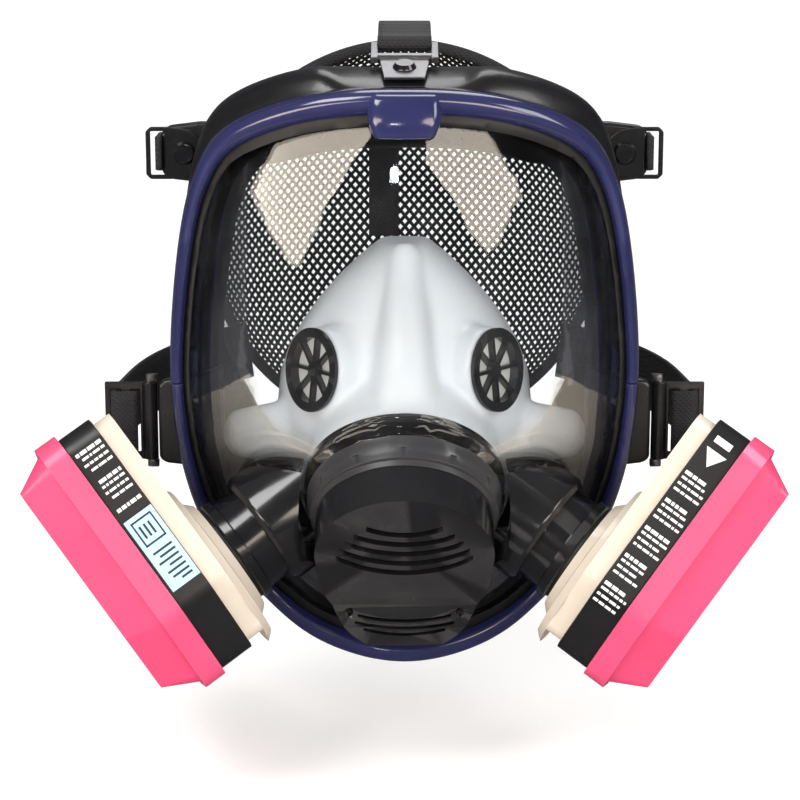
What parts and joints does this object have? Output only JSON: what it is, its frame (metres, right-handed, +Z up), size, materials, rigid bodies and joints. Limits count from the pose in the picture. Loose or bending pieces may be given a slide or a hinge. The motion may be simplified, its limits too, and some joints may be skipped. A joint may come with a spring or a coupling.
{
  "type": "full face respirator",
  "caption": "Full face respirator with clear wraparound lens, white nose cup, central exhalation and speaking unit, twist-on filter cartridges and a head net harness.",
  "frame": {"origin": "middle of the face opening on the symmetry plane, level with the rear rim of the face seal at the temples", "axes": "+Z up, -Y towards the front of the lens, +Y towards the wearer, +X to the right of someone looking at the lens"},
  "size_m": [0.2766, 0.2238, 0.2383],
  "materials": {
    "black_plastic": "satin black moulding",
    "carbon": "packed granules",
    "cartridge_beige": "satin beige moulding",
    "clear_lens": "polished clear polycarbonate",
    "clip_black": "satin black moulding",
    "cover_black": "glossy black moulding",
    "cup_silicone": "soft translucent white silicone",
    "diaphragm_film": "thin amber film",
    "filter_paper": "pleated fibre media",
    "filter_pink": "satin magenta moulding",
    "frame_navy": "glossy navy moulding",
    "gasket_rubber": "matt black rubber",
    "grey_plastic": "dark grey satin moulding",
    "label_black": "printed black film band",
    "net_fabric": "black open diamond net",
    "plated_steel": "plated",
    "port_black": "glossy black moulding",
    "seal_rubber": "smooth semi-gloss black rubber",
    "strap_webbing": "black woven elastic webbing",
    "stud_black": "glossy black",
    "valve_silicone": "thin soft silicone"
  },
  "bodies": {
    "facepiece": {"lens": "clear_lens", "lens_gasket": "gasket_rubber", "lens_frame_upper": "frame_navy", "lens_frame_lower": "frame_navy", "frame_screws": "plated_steel", "face_seal": "seal_rubber", "nose_cup": "cup_silicone", "center_housing": "black_plastic", "center_gasket": "gasket_rubber", "speaking_diaphragm": "diaphragm_film", "diaphragm_retainer": "black_plastic", "exhalation_valve_seat": "black_plastic", "top_stud": "stud_black", "side_studs": "stud_black", "buckle_pins": "plated_steel", "port_left": "port_black", "port_retainer_left": "black_plastic", "nose_valve_seat_left": "black_plastic", "port_right": "port_black", "port_retainer_right": "black_plastic", "nose_valve_seat_right": "black_plastic"},
    "lock_ring": {"center_lock_ring": "grey_plastic"},
    "exhaust_cover": {"exhalation_cover": "cover_black"},
    "exhalation_valve": {"exhalation_flap": "valve_silicone"},
    "harness": {"head_net": "net_fabric", "net_binding": "strap_webbing", "strap_top": "strap_webbing", "strap_upper_left": "strap_webbing", "strap_lower_left": "strap_webbing", "strap_upper_right": "strap_webbing", "strap_lower_right": "strap_webbing"},
    "top_clip_body": {"top_clip": "plated_steel"},
    "cartridge_left": {"cartridge_housing_left": "cartridge_beige", "cartridge_label_left": "label_black", "filter_cover_left": "filter_pink", "sorbent_bed_left": "carbon", "particulate_filter_left": "filter_paper", "port_gasket_left": "gasket_rubber"},
    "inhalation_valve_left": {"inhalation_flap_left": "valve_silicone"},
    "nose_valve_left": {"nose_valve_flap_left": "valve_silicone"},
    "upper_clip_left_body": {"upper_clip_left": "clip_black"},
    "lower_buckle_left": {"buckle_lower_left": "clip_black"},
    "cartridge_right": {"cartridge_housing_right": "cartridge_beige", "cartridge_label_right": "label_black", "filter_cover_right": "filter_pink", "sorbent_bed_right": "carbon", "particulate_filter_right": "filter_paper", "port_gasket_right": "gasket_rubber"},
    "inhalation_valve_right": {"inhalation_flap_right": "valve_silicone"},
    "nose_valve_right": {"nose_valve_flap_right": "valve_silicone"},
    "upper_clip_right_body": {"upper_clip_right": "clip_black"},
    "lower_buckle_right": {"buckle_lower_right": "clip_black"}
  },
  "joints": [
    {"name": "lock_ring_turn", "type": "hinge", "parent": "facepiece", "child": "lock_ring", "pos_m": [0, -0.08, -0.045], "axis": [0, -0.7986, -0.6018], "range_deg": [0, 30]},
    {"name": "cover_release", "type": "slide", "parent": "facepiece", "child": "exhaust_cover", "axis": [0, -0.7986, -0.6018], "range_m": [0, 0.008]},
    {"name": "exhalation_valve_lift", "type": "slide", "parent": "facepiece", "child": "exhalation_valve", "axis": [0, -0.7986, -0.6018], "range_m": [0, 0.0015]},
    {"name": "harness_adjust", "type": "slide", "parent": "facepiece", "child": "harness", "axis": [0, 1, 0], "range_m": [-0.008, 0.04], "deforming": ["strap_top", "strap_upper_left", "strap_upper_right", "strap_lower_left", "strap_lower_right"]},
    {"name": "top_clip_swivel", "type": "hinge", "parent": "facepiece", "child": "top_clip_body", "pos_m": [0, -0.0665, 0.103], "axis": [0, -0.3099, 0.9508], "range_deg": [-8, 8]},
    {"name": "cartridge_left_twist", "type": "hinge", "parent": "facepiece", "child": "cartridge_left", "pos_m": [-0.0613, -0.075, -0.0663], "axis": [0.7956, 0.2872, 0.5334], "range_deg": [0, 40]},
    {"name": "inhalation_valve_left_lift", "type": "slide", "parent": "facepiece", "child": "inhalation_valve_left", "axis": [0.7956, 0.2872, 0.5334], "range_m": [0, 0.0015]},
    {"name": "nose_valve_left_lift", "type": "slide", "parent": "facepiece", "child": "nose_valve_left", "axis": [0.7854, 0.6073, -0.1201], "range_m": [0, 0.0015]},
    {"name": "upper_clip_left_swivel", "type": "hinge", "parent": "facepiece", "child": "upper_clip_left_body", "pos_m": [-0.0795, -0.032, 0.071], "axis": [0, -1, 0], "range_deg": [-8, 8]},
    {"name": "lower_buckle_left_hinge", "type": "hinge", "parent": "facepiece", "child": "lower_buckle_left", "pos_m": [-0.0946, -0.028, -0.029], "axis": [0, 0, 1], "range_deg": [-10, 10]},
    {"name": "cartridge_right_twist", "type": "hinge", "parent": "facepiece", "child": "cartridge_right", "pos_m": [0.0613, -0.075, -0.0663], "axis": [0.7956, -0.2872, -0.5334], "range_deg": [0, 40]},
    {"name": "inhalation_valve_right_lift", "type": "slide", "parent": "facepiece", "child": "inhalation_valve_right", "axis": [-0.7956, 0.2872, 0.5334], "range_m": [0, 0.0015]},
    {"name": "nose_valve_right_lift", "type": "slide", "parent": "facepiece", "child": "nose_valve_right", "axis": [-0.7854, 0.6073, -0.1201], "range_m": [0, 0.0015]},
    {"name": "upper_clip_right_swivel", "type": "hinge", "parent": "facepiece", "child": "upper_clip_right_body", "pos_m": [0.0795, -0.032, 0.071], "axis": [0, -1, 0], "range_deg": [-8, 8]},
    {"name": "lower_buckle_right_hinge", "type": "hinge", "parent": "facepiece", "child": "lower_buckle_right", "pos_m": [0.0946, -0.028, -0.029], "axis": [0, 0, 1], "range_deg": [-10, 10]}
  ]
}
